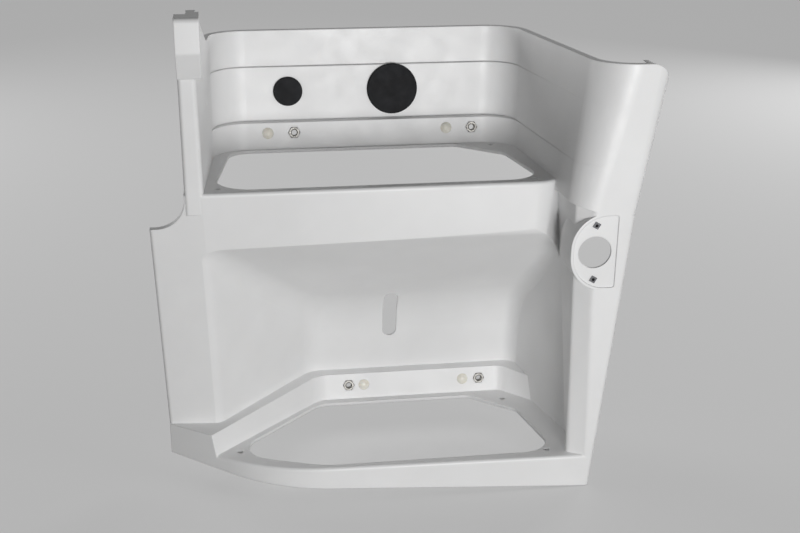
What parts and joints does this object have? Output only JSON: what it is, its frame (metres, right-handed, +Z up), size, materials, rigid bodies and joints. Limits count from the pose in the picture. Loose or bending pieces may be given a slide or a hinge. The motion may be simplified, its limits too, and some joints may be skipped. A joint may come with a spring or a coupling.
{
  "type": "cab step",
  "caption": "White moulded plastic cab step panel for a lorry with open treads, a toe recess, black caps and a seat for a marker lamp.",
  "frame": {"origin": "centre of the bounding box in X and Y, at the level of the lowest point of the bottom rim", "axes": "+Z up as fitted on the cab, +Y into the cab (the treads are stepped on from the -Y side), +X to the right as seen from the front"},
  "size_m": [0.5646, 0.304, 0.5722],
  "materials": {
    "shell": "satin, fine moulded grain",
    "cap": "satin",
    "nut": "zinc plated, dull",
    "plug": "smooth",
    "clip_nut": "dull"
  },
  "bodies": {
    "root": {"shell": "shell", "large_black_cap": "cap", "small_black_cap": "cap", "hex_nut_upper_left": "nut", "hex_nut_upper_right": "nut", "hex_nut_lower_left": "nut", "hex_nut_lower_right": "nut", "round_plug_upper_left": "plug", "round_plug_upper_right": "plug", "round_plug_lower_left": "plug", "round_plug_lower_right": "plug", "clip_nut_upper": "clip_nut", "clip_nut_lower": "clip_nut"}
  },
  "joints": []
}
